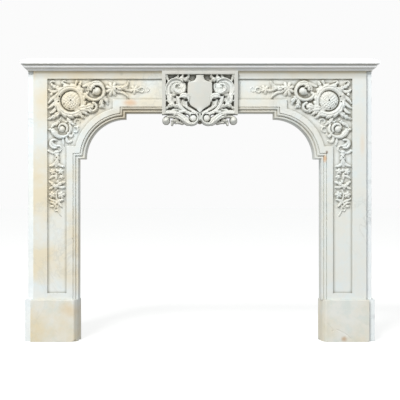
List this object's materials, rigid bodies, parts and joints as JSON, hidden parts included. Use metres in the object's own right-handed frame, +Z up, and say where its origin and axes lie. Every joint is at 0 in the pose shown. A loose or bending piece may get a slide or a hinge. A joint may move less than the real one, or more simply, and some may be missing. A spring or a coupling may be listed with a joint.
{
  "type": "carved marble fireplace surround",
  "caption": "Marble fireplace surround: moulded shelf over a frieze and jambs carved with scrolling leaves, a shield block at the middle, plain plinths, rounded corners to the opening.",
  "frame": {"origin": "on the floor, at the middle of the width and of the depth", "axes": "+X along the shelf, to the right as seen from the room; +Y towards the wall; +Z up"},
  "size_m": [1.464, 0.227, 1.157],
  "materials": {
    "shelf_marble": "honed white marble with a soft polish",
    "carved_marble": "carved white marble, worn and warm with age",
    "plinth_marble": "honed marble, stained and scratched",
    "return_marble": "sawn and honed grey-white marble"
  },
  "bodies": {
    "root": {"shelf": "shelf_marble", "frieze": "carved_marble", "jamb_left": "carved_marble", "jamb_right": "carved_marble", "middle_block": "carved_marble", "plinth_left": "plinth_marble", "plinth_right": "plinth_marble", "return_left": "return_marble", "return_right": "return_marble", "plinth_return_left": "return_marble", "plinth_return_right": "return_marble"}
  },
  "joints": []
}
